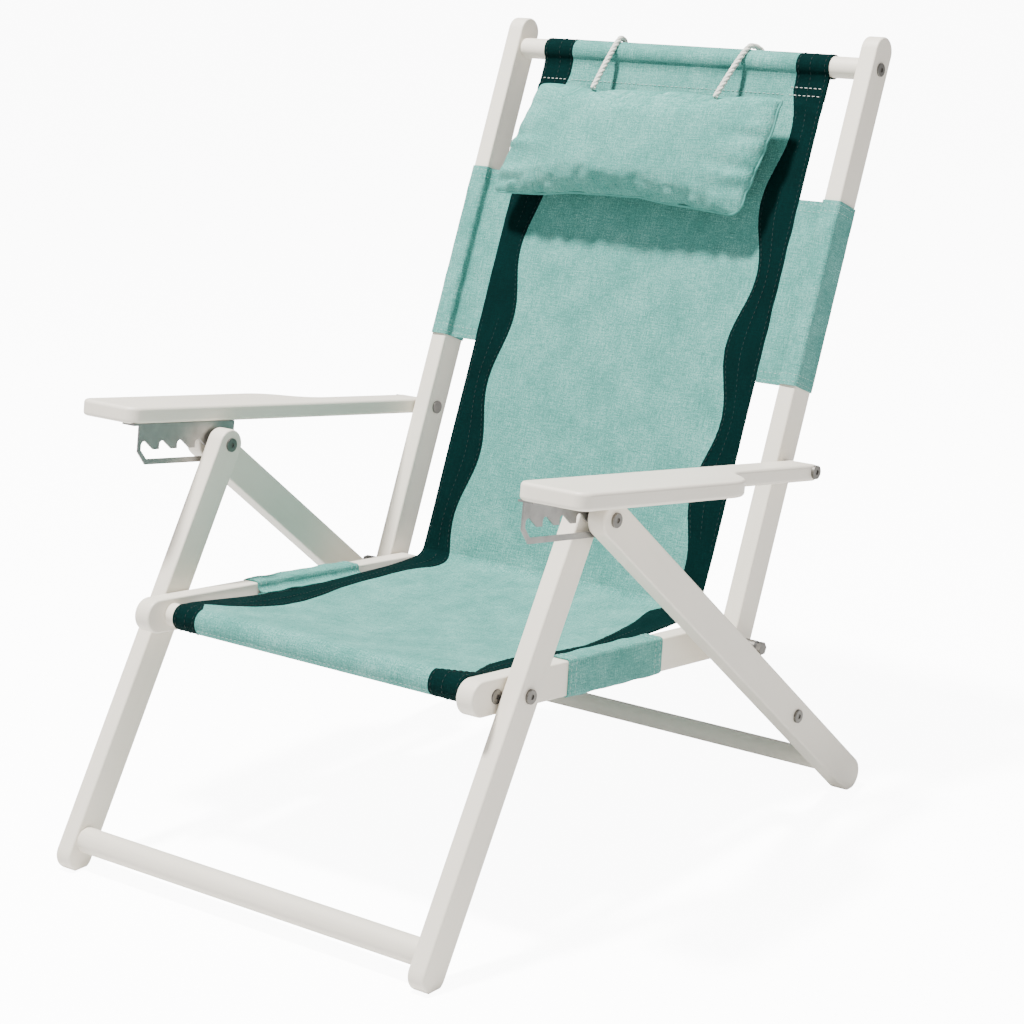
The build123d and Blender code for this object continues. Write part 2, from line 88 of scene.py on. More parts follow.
# Dark bands: the waves of their inner edges on the back, and their widths on the seat
BAND_PERIOD = 0.165
BAND_CREST = 0.400
BAND_END = 0.612
BAND_MIDDLE_RIGHT, BAND_SWING_RIGHT = 0.158, 0.0085
BAND_MIDDLE_LEFT, BAND_SWING_LEFT = 0.157, 0.0075
BAND_RAISE = 0.0004
SEAT_BAND_AT = (-0.369, -0.363, -0.350, -0.330, -0.300, -0.265, -0.230, -0.190, -0.150, -0.110, -0.060, 0.0)
SEAT_BAND_RIGHT = (0.041, 0.006, 0.009, 0.018, 0.030, 0.036, 0.034, 0.026, 0.022, 0.027, 0.034, 0.044)
SEAT_BAND_LEFT = (0.033, 0.007, 0.014, 0.030, 0.044, 0.050, 0.048, 0.040, 0.030, 0.026, 0.028, 0.044)

# Sleeves on the seat rails (Y of their ends) and flaps on the back rails (distances)
SLEEVE_Y = {"right": (-0.150, 0.010), "left": (-0.135, 0.030)}
FLAP_FROM = 0.283
FLAP_TO = 0.490
SEAT_RAIL_DEPTH = 0.0365
BACK_RAIL_DEPTH = 0.034
WRAP_SKIN = 0.0014
WRAP_CANVAS = 0.0012
WRAP_CORNER = 0.003
WRAP_STEP = 0.004

# Pillow: corners as (X, distance), half sizes, points along a side of its slack grid, and how
# far a point may travel as it is blown up
PILLOW_CORNERS = ((-0.199, 0.458), (0.148, 0.458), (0.170, 0.591), (-0.166, 0.591))
PILLOW_HALF_WIDTH = 0.180
PILLOW_HALF_HEIGHT = 0.0665
PILLOW_THICKNESS = 0.070
PILLOW_CAP = 0.018
PILLOW_GRID = 44
CLOTH_FRAMES = 20
PLEAT_HEIGHT = 0.0018
WELT_RADIUS = 0.0016

# Ties, with the control points of their routes
CORD_RADIUS = 0.0035
STRAND_RADIUS = CORD_RADIUS * 0.54
STRAND_PITCH = 0.020
KNOT_SIZE = 0.0013
KNOT_STRAND = 0.0022
FRAYED_ENDS = 7
CORD_RIGHT = (
    (0.0800, 0.3213, 0.7706), (0.0850, 0.3735, 0.8234), (0.0900, 0.3884, 0.8234), (0.0950, 0.3989, 0.8129),
    (0.0955, 0.3994, 0.7869), (0.0980, 0.4014, 0.7389), (0.1040, 0.4059, 0.6669), (0.1120, 0.4124, 0.6069),
)
CORD_LEFT = (
    (-0.0910, 0.3213, 0.7706), (-0.0937, 0.3735, 0.8234), (-0.0963, 0.3884, 0.8234),
    (-0.0990, 0.3989, 0.8129), (-0.0995, 0.3994, 0.7869), (-0.1020, 0.4014, 0.7389),
    (-0.1080, 0.4059, 0.6669), (-0.1160, 0.4124, 0.6069),
)

# Colours, linear
PAINT = (0.80, 0.745, 0.65)
TEAL = (0.077, 0.278, 0.245)
TEAL_LIGHT = (0.27, 0.56, 0.515)
TEAL_DARK = (0.018, 0.135, 0.112)
BAND = (0.0, 0.011, 0.0105)
STITCH = (0.40, 0.60, 0.56)
ROPE = (0.78, 0.76, 0.70)
STEEL = (0.22, 0.21, 0.195)
GALVANISED = (0.34, 0.335, 0.325)

# Slope of the arms at rest, which their paint's grain follows
ARM_SLOPE = -8.8

# Studio: what lights the object, and how bright the floor and sky look to the camera alone
SKY_STRENGTH = 0.50
FLOOR_GLOW = 0.12
BACKDROP_STRENGTH = 10.0
LIGHTS = (
    ("key", (-0.55, -0.95, 4.1), 0.45, 500, (1.0, 0.985, 0.955)),
    ("fill", (3.2, -1.6, 1.8), 2.4, 20, (0.97, 0.98, 1.0)),
)
LIGHTS_AIM = (0, 0, 0.4)
FLOOR_SIZE = 40
FLOOR_DROP = 0.0003


def joint_yz(name):
    """A hinge's place as a (Y, Z) vector."""
    place = next(j["pos_m"] for j in frame["joints"] if j["name"] == name)
    return np.array(place[1:], float)


def middle_yz(node):
    low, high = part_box(node)
    return np.array([(low[1] + high[1]) / 2, (low[2] + high[2]) / 2])


def half_height(node):
    low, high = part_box(node)
    return (high[2] - low[2]) / 2


def unit(vectors):
    vectors = np.asarray(vectors, float)
    return vectors / np.linalg.norm(vectors, axis=-1, keepdims=True)


BACK_PIVOT = joint_yz("recline")
NOSE = middle_yz("seat_front_dowel")
TOP = middle_yz("back_top_dowel")
NOSE_RADIUS = half_height("seat_front_dowel")
TOP_RADIUS = half_height("back_top_dowel")
BACK_UP = unit(TOP - BACK_PIVOT)
BACK_FRONT = np.array([-BACK_UP[1], BACK_UP[0]])
SEAT_AHEAD = unit(NOSE - BACK_PIVOT)


def on_back(distance, front=0.0):
    """(Y, Z) at a distance up the back rails from their pivot, and in front of their middle line."""
    return BACK_PIVOT + BACK_UP * distance + BACK_FRONT * front


# ---------------------------------------------------------------- camera

def make_camera():
    a, e, r = radians(CAMERA_AZIMUTH), radians(CAMERA_ELEVATION), radians(CAMERA_ROLL)
    ahead = Vector((-sin(a) * cos(e), cos(a) * cos(e), -sin(e)))
    level = Vector((cos(a), sin(a), 0))
    up = level.cross(ahead)
    right = level * cos(r) + up * sin(r)
    top = up * cos(r) - level * sin(r)
    data = bpy.data.cameras.new("camera")
    data.lens = CAMERA_LENS
    data.sensor_width = 36
    data.clip_end = 50
    camera = bpy.data.objects.new("camera", data)
    turn = Matrix((right, top, -ahead)).transposed().to_4x4()
    camera.matrix_world = Matrix.Translation(CAMERA_PLACE) @ turn
    bpy.context.collection.objects.link(camera)
    bpy.context.scene.camera = camera


# ---------------------------------------------------------------- material helpers

def shade(colour, amount):
    return tuple(amount * c for c in colour)


class Shader:
    """A node material with short names for the nodes that it is built from."""

    def __init__(self, name, colour, roughness):
        self.material = bpy.data.materials.new(name)
        self.material.use_nodes = True
        self.tree = self.material.node_tree
        self.bsdf = self.tree.nodes["Principled BSDF"]
        self.bsdf.inputs["Base Color"].default_value = (*colour, 1)
        self.bsdf.inputs["Roughness"].default_value = roughness
        self.material.diffuse_color = (*colour, 1)

    def node(self, kind, **settings):
        made = self.tree.nodes.new(kind)
        for key, value in settings.items():
            if key in made.inputs:
                made.inputs[key].default_value = value
            else:
                setattr(made, key, value)
        return made

    def link(self, source, target):
        self.tree.links.new(source, target)

    def coordinates(self, kind, scale, tilt=(0, 0, 0)):
        """Object or UV coordinates in metres, turned and then scaled."""
        source = self.node("ShaderNodeTexCoord")
        turn = self.node("ShaderNodeMapping", vector_type="TEXTURE")
        turn.inputs["Rotation"].default_value = tilt
        stretch = self.node("ShaderNodeMapping")
        stretch.inputs["Scale"].default_value = scale
        self.link(source.outputs[kind], turn.inputs["Vector"])
        self.link(turn.outputs["Vector"], stretch.inputs["Vector"])
        return stretch.outputs["Vector"]

    def noise(self, vector, scale=1.0, detail=4.0, roughness=0.5):
        made = self.node("ShaderNodeTexNoise", Scale=scale, Detail=detail, Roughness=roughness)
        self.link(vector, made.inputs["Vector"])
        return made.outputs["Fac"]

    def ramp(self, value, *stops):
        made = self.node("ShaderNodeValToRGB")
        ramp = made.color_ramp
        while len(ramp.elements) < len(stops):
            ramp.elements.new(0.5)
        for element, (position, colour) in zip(ramp.elements, stops):
            element.position = position
            element.color = (*colour, 1)
        self.link(value, made.inputs["Fac"])
        return made.outputs["Color"]

    def span(self, value, low, high):
        """Map a 0 to 1 value onto a range."""
        made = self.node("ShaderNodeMapRange")
        made.inputs["To Min"].default_value = low
        made.inputs["To Max"].default_value = high
        self.link(value, made.inputs["Value"])
        return made.outputs["Result"]

    def math(self, operation, first, second):
        made = self.node("ShaderNodeMath", operation=operation)
        for socket, value in zip(made.inputs, (first, second)):
            if isinstance(value, (int, float)):
                socket.default_value = value
            else:
                self.link(value, socket)
        return made.outputs["Value"]

    def bump(self, height, distance, strength=1.0, normal=None):
        made = self.node("ShaderNodeBump", Strength=strength, Distance=distance)
        self.link(height, made.inputs["Height"])
        if normal:
            self.link(normal, made.inputs["Normal"])
        return made.outputs["Normal"]

    def finish(self, colour=None, roughness=None, normal=None):
        for value, name in ((colour, "Base Color"), (roughness, "Roughness"), (normal, "Normal")):
            if value:
                self.link(value, self.bsdf.inputs[name])
        return self.material


def painted_wood(name, tilt, scale):
    """Satin off-white paint over fine grain that runs along the board."""
    shader = Shader(name, PAINT, 0.42)
    grain_at = shader.coordinates("Object", scale, tilt)
    grain = shader.noise(grain_at, 1.0, 6.0, 0.6)
    cloudy = shader.noise(shader.coordinates("Object", (9, 9, 9)), 1.0, 3.0)
    colour = shader.ramp(cloudy, (0.3, shade(PAINT, 0.965)), (0.7, PAINT))
    tint = shader.node("ShaderNodeMix", data_type="RGBA", blend_type="MULTIPLY")
    tint.inputs["Factor"].default_value = 0.35
    lines = shader.ramp(grain, (0.30, (0.93, 0.915, 0.89)), (0.48, (1, 1, 1)))
    shader.link(colour, tint.inputs[6])
    shader.link(lines, tint.inputs[7])
    brush = shader.bump(grain, 0.00035, 0.35)
    peel = shader.noise(shader.coordinates("Object", (420, 420, 420)), 1.0, 2.0)
    return shader.finish(tint.outputs[2], shader.span(grain, 0.36, 0.52),
                         shader.bump(peel, 0.0001, 0.25, brush))


def metal(name, colour, roughness, brushed):
    shader = Shader(name, colour, roughness)
    shader.bsdf.inputs["Metallic"].default_value = 1.0
    lines = shader.noise(shader.coordinates("Object", brushed), 1.0, 5.0, 0.6)
    stains = shader.noise(shader.coordinates("Object", (60, 60, 60)), 1.0, 3.0)
    tone = shader.ramp(stains, (0.25, shade(colour, 0.72)), (0.75, colour))
    return shader.finish(tone, shader.span(lines, roughness - 0.09, roughness + 0.14),
                         shader.bump(lines, 0.0002, 0.3))


def rubber(name):
    shader = Shader(name, (0.02, 0.02, 0.021), 0.65)
    dust = shader.noise(shader.coordinates("Object", (300, 300, 300)), 1.0, 3.0)
    tone = shader.ramp(dust, (0.35, (0.015, 0.015, 0.016)), (0.8, (0.06, 0.06, 0.058)))
    return shader.finish(tone, None, shader.bump(dust, 0.0002, 0.4))


def canvas(name, dark, mid, light, gloss=0.2):
    """Plain weave in UV metres: warp over weft, with heathered threads of uneven colour."""
    shader = Shader(name, mid, 0.86)
    shader.bsdf.inputs["Specular IOR Level"].default_value = gloss
    shader.bsdf.inputs["Sheen Weight"].default_value = gloss / 8
    shader.bsdf.inputs["Sheen Roughness"].default_value = 0.5
    uv = shader.coordinates("UV", (1, 1, 1))
    parts = shader.node("ShaderNodeSeparateXYZ")
    shader.link(uv, parts.inputs["Vector"])
    across = shader.math("SINE", shader.math("MULTIPLY", parts.outputs["X"], tau / THREAD_PITCH), 0)
    along = shader.math("SINE", shader.math("MULTIPLY", parts.outputs["Y"], tau / THREAD_PITCH), 0)
    weave = shader.math("MULTIPLY", across, along)
    weft = shader.noise(shader.coordinates("UV", (55, 900, 1)), 1.0, 3.0, 0.7)
    warp = shader.noise(shader.coordinates("UV", (900, 55, 1)), 1.0, 3.0, 0.7)
    speck = shader.noise(shader.coordinates("UV", (620, 620, 1)), 1.0, 2.0, 0.8)
    cloud = shader.noise(shader.coordinates("UV", (22, 22, 1)), 1.0, 4.0)
    threads = shader.math("MULTIPLY", shader.math("ADD", weft, warp), 0.5)
    mixed = shader.math("ADD", shader.math("MULTIPLY", threads, 0.55), shader.math("MULTIPLY", speck, 0.45))
    fading = shader.math("MULTIPLY", shader.math("SUBTRACT", cloud, 0.5), 0.16)
    mixed = shader.math("ADD", mixed, fading)
    spread = 0.16
    colour = shader.ramp(mixed, (0.5 - spread, dark), (0.5, mid), (0.5 + spread, light))
    fluff = shader.bump(speck, 0.0005, 0.35)
    return shader.finish(colour, None, shader.bump(weave, 0.00035, 0.45, fluff))


def thread_material(name, colour):
    shader = Shader(name, colour, 0.8)
    fibre = shader.noise(shader.coordinates("Object", (1500, 1500, 1500)), 1.0, 3.0)
    tone = shader.ramp(fibre, (0.3, shade(colour, 0.72)), (0.7, colour))
    return shader.finish(tone, None, shader.bump(fibre, 0.0003, 0.5))


def make_materials():
    grain = (90, 5, 90)

    def tilted(direction):
        """Rotation that lays local Y along a (Y, Z) direction."""
        return (float(np.arctan2(direction[1], direction[0])), 0, 0)

    fold, pin, low = joint_yz("fold"), joint_yz("rear_leg_swing"), middle_yz("lower_bolts")
    return {
        "seat_board": painted_wood("paint_seat_board", tilted(SEAT_AHEAD), grain),
        "front_board": painted_wood("paint_front_board", tilted(pin - fold), grain),
        "rear_board": painted_wood("paint_rear_board", tilted(pin - low), grain),
        "back_board": painted_wood("paint_back_board", tilted(BACK_UP), grain),
        "arm_board": painted_wood("paint_arm_board", (radians(ARM_SLOPE), 0, 0), grain),
        "dowel": painted_wood("paint_dowel", (0, 0, 0), (5, 90, 90)),
        "steel": metal("steel_bolt", STEEL, 0.46, (700, 700, 60)),
        "rack": metal("steel_rack", GALVANISED, 0.44, (700, 30, 420)),
        "rubber": rubber("rubber_ring"),
        "canvas": canvas("canvas_teal", TEAL_DARK, TEAL, TEAL_LIGHT),
        "pillow": canvas("canvas_pillow", TEAL_DARK, shade(TEAL, 1.04), TEAL_LIGHT),
        "band": canvas("canvas_dark_band", shade(BAND, 0.7), BAND, shade(BAND, 1.7), gloss=0.04),
        "stitch": thread_material("thread_stitch", STITCH),
        "dark_stitch": thread_material("thread_dark", shade(BAND, 1.3)),
        "white_stitch": thread_material("thread_white", (0.75, 0.76, 0.72)),
        "rope": thread_material("rope", ROPE),
    }


def paint_nodes(materials):
    """Give every shown CAD node its material."""
    rules = (("seat_rail", "seat_board"), ("front_leg", "front_board"), ("rear_leg", "rear_board"),
             ("back_rail", "back_board"), ("rack_screws", "steel"), ("rack_left", "rack"),
             ("rack_right", "rack"), ("arm_left", "arm_board"), ("arm_right", "arm_board"),
             ("seat_front_dowel", "dowel"), ("back_top_dowel", "dowel"), ("front_stretcher", "dowel"),
             ("rear_stretcher", "dowel"), ("back_hinge_rings", "rubber"), ("cord_knot", "rope"))
    for name, node in frame["nodes"].items():
        found = next((m for start, m in rules if name.startswith(start)), "steel")
        node.data.materials.clear()
        node.data.materials.append(materials[found])


# ---------------------------------------------------------------- mesh helpers

class Stock:
    """Vertices, faces, UVs and material slots of a piece while it is being built."""

    def __init__(self):
        self.vertices, self.faces, self.slots, self.uv = [], [], [], []

    def add(self, vertices, faces, slots, uv=None):
        base = len(self.vertices)
        self.vertices += [tuple(float(c) for c in v) for v in vertices]
        self.faces += [tuple(base + i for i in face) for face in faces]
        self.slots += [slots] * len(faces) if isinstance(slots, int) else list(slots)
        self.uv += list(uv) if uv is not None else [(0.0, 0.0)] * len(vertices)

    def piece(self, name, materials):
        mesh = bpy.data.meshes.new(name)
        mesh.from_pydata(self.vertices, [], self.faces)
        for material in materials:
            mesh.materials.append(material)
        layer = mesh.uv_layers.new(name="metres")
        corners = np.empty(len(mesh.loops), dtype=int)
        mesh.loops.foreach_get("vertex_index", corners)
        layer.data.foreach_set("uv", np.array(self.uv, float)[corners].ravel())
        mesh.polygons.foreach_set("material_index", self.slots)
        mesh.polygons.foreach_set("use_smooth", [True] * len(mesh.polygons))
        mesh.validate()
        mesh.set_sharp_from_angle(angle=radians(50))
        made = bpy.data.objects.new(name, mesh)
        bpy.context.collection.objects.link(made)
        return made


def grid_faces(rows, columns, closed=False):
    """Quads of a grid that is rows long and columns wide."""
    faces = []
    for r in range(rows - 1):
        for c in range(columns if closed else columns - 1):
            d = (c + 1) % columns
            here, ahead = r * columns, (r + 1) * columns
            faces.append((here + c, here + d, ahead + d, ahead + c))
    return faces


def rim_pairs(rows, columns):
    """Neighbouring vertices round the rim of a grid."""
    last = (rows - 1) * columns
    rim = list(range(columns)) + [r * columns + columns - 1 for r in range(1, rows)]
    rim += list(range(last + columns - 2, last - 1, -1))
    rim += [r * columns for r in range(rows - 2, 0, -1)]
    return zip(rim, rim[1:] + rim[:1])


def arc_lengths(points):
    steps = np.linalg.norm(np.diff(points, axis=0), axis=1)
    return np.concatenate([[0], np.cumsum(steps)])


def resample(points, step):
    """Evenly spaced points along a polyline."""
    points = np.asarray(points, float)
    at = arc_lengths(points)
    wanted = np.linspace(0, at[-1], max(2, int(round(at[-1] / step)) + 1))
    return np.stack([np.interp(wanted, at, points[:, i]) for i in range(points.shape[1])], axis=1)


def soften(points, rounds):
    """Even out a polyline's corners, with its ends left in place."""
    points = np.array(points, float)
    for _ in range(rounds):
        points[1:-1] = points[1:-1] / 2 + (points[:-2] + points[2:]) / 4
    return points


def left_normals(path):
    """Unit normals to the left of a (Y, Z) path."""
    tangent = unit(np.gradient(path, axis=0))
    return np.stack([-tangent[:, 1], tangent[:, 0]], axis=1)


def arc(centre, radius, start, end, count):
    angles = np.radians(np.linspace(start, end, count))
    return [centre + radius * np.array([cos(a), sin(a)]) for a in angles]


def rings(centres, radii, sides, closed=False):
    """Vertices of a tube of changing radius along 3-D points."""
    centres = np.asarray(centres, float)
    if closed:
        tangent = unit(np.roll(centres, -1, axis=0) - np.roll(centres, 1, axis=0))
    else:
        tangent = unit(np.gradient(centres, axis=0))
    side = np.array((0.31, 0.42, 0.85))  # any direction that no tube here follows
    vertices = []
    for centre, t, radius in zip(centres, tangent, radii):
        side = unit(side - t * side.dot(t))
        other = np.cross(t, side)
        for k in range(sides):
            turn = tau * k / sides
            vertices.append(centre + radius * (side * cos(turn) + other * sin(turn)))
    return vertices


def add_tube(stock, centres, radius, slot, sides=8, closed=False):
    count = len(centres)
    faces = grid_faces(count, sides, closed=True)
    last = (count - 1) * sides
    if closed:
        faces += [(last + k, last + (k + 1) % sides, (k + 1) % sides, k) for k in range(sides)]
    else:
        faces += [tuple(range(sides))[::-1], tuple(range(last, last + sides))]
    stock.add(rings(centres, [radius] * count, sides, closed=closed), faces, slot)


def add_stitches(stock, line, slot, length=0.0036, gap=0.0024, radius=0.0004):
    """Row of short raised stitches along a line of 3-D points."""
    line = np.asarray(line, float)
    at = arc_lengths(line)
    faces = grid_faces(4, 5, closed=True) + [(4, 3, 2, 1, 0), (15, 16, 17, 18, 19)]
    radii = [0.3 * radius, radius, radius, 0.3 * radius]
    for start in np.arange(gap, at[-1] - length, length + gap):
        places = [start + length * t for t in (0, 0.25, 0.75, 1)]
        centres = [[np.interp(place, at, line[:, i]) for i in range(3)] for place in places]
        stock.add(rings(centres, radii, 5), faces, slot)


def closed_sheet(stock, surface, normals, rows, columns, thickness, slots, uv):
    """Give a grid of points a cloth's thickness behind it, closed round its rim."""
    front = np.asarray(surface, float)
    rear = front - np.asarray(normals, float) * thickness
    count = rows * columns
    faces = grid_faces(rows, columns)
    edge = [(b, a, count + a, count + b) for a, b in rim_pairs(rows, columns)]
    flipped = [tuple(count + i for i in face[::-1]) for face in faces]
    stock.add(list(front) + list(rear), faces + flipped + edge,
              slots + slots + [slots[0]] * len(edge), uv + uv)


# ---------------------------------------------------------------- ties

def route_line(points):
    """Samples of the smooth NURBS line whose control points are a tie's route."""
    curve = bpy.data.curves.new("route", "CURVE")
    curve.dimensions = "3D"
    curve.resolution_u = 24
    spline = curve.splines.new("NURBS")
    spline.points.add(len(points) - 1)
    for place, point in zip(spline.points, points):
        place.co = (*point, 1)
    spline.order_u = 3
    spline.use_endpoint_u = True
    carrier = bpy.data.objects.new("route", curve)
    mesh = bpy.data.meshes.new_from_object(carrier)
    line = np.array([v.co for v in mesh.vertices], float)
    bpy.data.objects.remove(carrier)
    bpy.data.curves.remove(curve)
    bpy.data.meshes.remove(mesh)
    return resample(line, 0.0015)


def make_cord(word, points, materials):
    """Three-strand twisted tie, from the pillow's seam to the knot at its end."""
    line = route_line(points)
    at = arc_lengths(line)
    tangent = unit(np.gradient(line, axis=0))
    rope = Stock()
    for k in range(3):
        side = np.array([1.0, 0.0, 0.0])
        centres = []
        for centre, t, s in zip(line, tangent, at):
            side = unit(side - t * side.dot(t))
            turn = tau * (s / STRAND_PITCH + k / 3)
            outward = side * cos(turn) + np.cross(t, side) * sin(turn)
            centres.append(centre + (CORD_RADIUS - STRAND_RADIUS) * outward)
        add_tube(rope, centres, STRAND_RADIUS, 0)
    cord = rope.piece(f"tie_{word}", [materials["rope"]])
    knot = make_knot(word, line[-1], tangent[-1], materials)
    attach(cord, "back")
    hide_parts(f"pillow_cord_{word}")


def make_knot(word, end, along, materials):
    """Small overhand knot at the end of a tie, with its frayed tip below."""
    side = unit(np.cross(along, (0, 1, 0)))
    other = np.cross(along, side)
    stock = Stock()
    loop = []
    for t in np.linspace(0, tau, 61)[:-1]:
        x, y, z = sin(t) + 2 * sin(2 * t), cos(t) - 2 * cos(2 * t), -sin(3 * t)
        loop.append(end + KNOT_SIZE * (side * x + other * y) + along * (0.0055 + 0.0021 * z))
    add_tube(stock, loop, KNOT_STRAND, 0, closed=True)
    for k in range(FRAYED_ENDS):
        angle = tau * k / FRAYED_ENDS
        spread = side * cos(angle) + other * sin(angle)
        tip = [end + along * (0.006 + 0.0025 * i) + spread * (0.0008 + 0.0006 * i)
               for i in range(4)]
        add_tube(stock, tip, 0.0006, 0, sides=5)
    knot = stock.piece(f"knot_{word}", [materials["rope"]])
    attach(knot, "back")
    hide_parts(f"cord_knot_{word}")
    return knot


# ---------------------------------------------------------------- sling

# Material slots of both panels
PLAIN, DARK, DARK_STITCH, WHITE_STITCH, PALE_STITCH = range(5)


def seat_surface(part):
    """Point on the seat panel's sagging top, from the front dowel at 0 to the crease at 1."""
    start = NOSE + np.array([0, NOSE_RADIUS + CANVAS_GAP + CANVAS])
    return start + part * (np.array(CREASE_CORNER) - start) - np.array([0, SEAT_SAG * sin(pi * part)])


def seat_path():
    """Outer face of the seat panel: its hem, round the front dowel, back to the crease and up."""
    wrap = NOSE_RADIUS + CANVAS_GAP + CANVAS
    below = np.array([0, 2 * CANVAS + CANVAS_GAP])
    hem = [seat_surface(part) - below for part in SEAT_HEM]
    panel = [seat_surface(part) for part in np.linspace(0.05, 0.93, 24)]
    panel += [np.array(CREASE_CORNER), on_back(SLING_SPLIT, SLING_FRONT)]
    panel = resample(panel, PATH_STEP)
    return np.concatenate([hem, arc(NOSE, wrap, 48, -266, 44), soften(panel, 12)])


def back_path():
    """Outer face of the back panel: up from the crease, round the top dowel, and its hem."""
    wrap = TOP_RADIUS + CANVAS_GAP + CANVAS
    lean = np.degrees(np.arctan2(BACK_UP[1], BACK_UP[0]))
    ends = [on_back(distance, SLING_FRONT) for distance in (SLING_SPLIT, BACK_PANEL_TOP)]
    panel = resample(ends, PATH_STEP)
    behind = SLING_FRONT - 2 * CANVAS - CANVAS_GAP
    hem = [on_back(distance, behind) for distance in BACK_HEM]
    return np.concatenate([panel, arc(TOP, wrap, lean + 148, lean - 189, 50), hem])


def smooth_step(value, low, high):
    t = np.clip((value - low) / (high - low), 0, 1)
    return t * t * (3 - 2 * t)


def band_edges(distance):
    """X of the two wavy inner edges of the dark bands, at a distance."""
    distance = min(distance, BAND_END)
    back = float(smooth_step(distance, -0.05, 0.02))
    wave = cos(tau * (distance - BAND_CREST) / BAND_PERIOD)

    def edge(middle, swing, widths):
        on_seat = SLING_EDGE - float(np.interp(distance, SEAT_BAND_AT, widths))
        return on_seat * (1 - back) + (middle + swing * wave) * back

    return (-edge(BAND_MIDDLE_LEFT, BAND_SWING_LEFT, SEAT_BAND_LEFT),
            edge(BAND_MIDDLE_RIGHT, BAND_SWING_RIGHT, SEAT_BAND_RIGHT))


def cloth_lift(x, distance, free):
    """Slight sag and wrinkles of the stretched cloth along its normal, where free is 0 to 1."""
    near_crease = np.exp(-(distance / 0.07) ** 2)
    near_hem = np.exp(-((distance - BACK_BAR_AT) / 0.018) ** 2)
    lift = 0.0007 * sin(41 * x + 9 * distance) * sin(17 * distance + 1.3)
    lift += near_crease * (0.0010 * sin(95 * x + 40 * distance) + 0.0006 * sin(230 * x))
    lift += near_hem * (0.0008 * sin(118 * x + 200 * distance) + 0.0004 * sin(290 * x - 90 * distance))
    lift -= 0.003 * (1 - (x / SLING_EDGE) ** 2) * free
    return lift * float(smooth_step(abs(distance - SLING_SPLIT), 0, 0.015))


def sling_stock(path, first):
    """Canvas between its dark bands along a path, with stitched band edges and sides."""
    normals = left_normals(path)
    distances = first + arc_lengths(path)
    light = np.linspace(0, 1, 60)
    dark = np.linspace(0, 1, 11)
    border = len(dark) - 1
    columns = len(light) + 2 * border
    surface, outward, uv = [], [], []
    for point, normal, distance in zip(path, normals, distances):
        left, right = band_edges(distance)
        xs = np.concatenate([-SLING_EDGE + (SLING_EDGE + left) * dark[:-1],
                             left + (right - left) * light,
                             right + (SLING_EDGE - right) * dark[1:]])
        ahead_of_crease = smooth_step(SLING_SPLIT - distance, 0.04, 0.16)
        free = float(smooth_step(distance, -0.36, -0.25) * ahead_of_crease)
        on_bar = not SEAT_BAR_AT < distance < BACK_BAR_AT
        for x in xs:
            lift = 0.0 if on_bar else cloth_lift(x, distance, free)
            if not left <= x <= right and not on_bar:
                lift += BAND_RAISE
            surface.append((x, *(point + normal * lift)))
            outward.append((0, *normal))
            uv.append((x, distance))
    row_slots = [DARK if c < border or c >= columns - 1 - border else PLAIN
                 for c in range(columns - 1)]
    stock = Stock()
    closed_sheet(stock, surface, outward, len(path), columns, CANVAS, row_slots * (len(path) - 1), uv)

    low, high = distances[0] + 0.002, distances[-1] - 0.002
    for side, inward in ((0, 1), (1, -1)):
        seams = (lambda d: band_edges(d)[side] - 0.0035 * inward,
                 lambda d: band_edges(d)[side] * 0.55 - 0.45 * inward * SLING_EDGE,
                 lambda d: -inward * (SLING_EDGE - 0.004))
        for seam in seams:
            line = [(seam(distance), *(point + normal * 0.0003))
                    for point, normal, distance in zip(path, normals, distances)
                    if low <= distance <= high]
            add_stitches(stock, line, DARK_STITCH)
    return stock


def stitch_across(stock, path, first, distance, x_start, x_end, slot, lift=0.0006):
    """Row of stitches from side to side, at a distance along a sling's path."""
    row = int(np.searchsorted(arc_lengths(path), distance - first))
    place = path[row] + left_normals(path)[row] * lift
    add_stitches(stock, [(x, *place) for x in np.linspace(x_start, x_end, 90)], slot)


def make_slings(materials):
    slots = [materials[n] for n in ("canvas", "band", "dark_stitch", "white_stitch", "stitch")]
    path = seat_path()
    length = arc_lengths(path)[-1]
    first = SLING_SPLIT - length
    stock = sling_stock(path, first)
    stitch_across(stock, path, first, SEAT_HEM_SEAM, *band_edges(SEAT_HEM_SEAM), PALE_STITCH, 0.0001)
    seat = stock.piece("sling_seat", slots)
    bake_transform(seat)
    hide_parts("seat_sling", "sling_crease")

    path = back_path()
    length = arc_lengths(path)[-1]
    stock = sling_stock(path, SLING_SPLIT)
    for distance, x_start, x_end, slot in (
            (BACK_HEM_SEAM, -0.196, -0.157, WHITE_STITCH), (BACK_HEM_SEAM, 0.150, 0.196, WHITE_STITCH),
            (BACK_HEM_SECOND_SEAM, 0.150, 0.196, WHITE_STITCH),
            (BACK_HEM_SEAM, -0.155, 0.148, PALE_STITCH)):
        stitch_across(stock, path, SLING_SPLIT, distance, x_start, x_end, slot)
    back = stock.piece("sling_back", slots)
    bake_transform(back)
    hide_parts("back_sling")


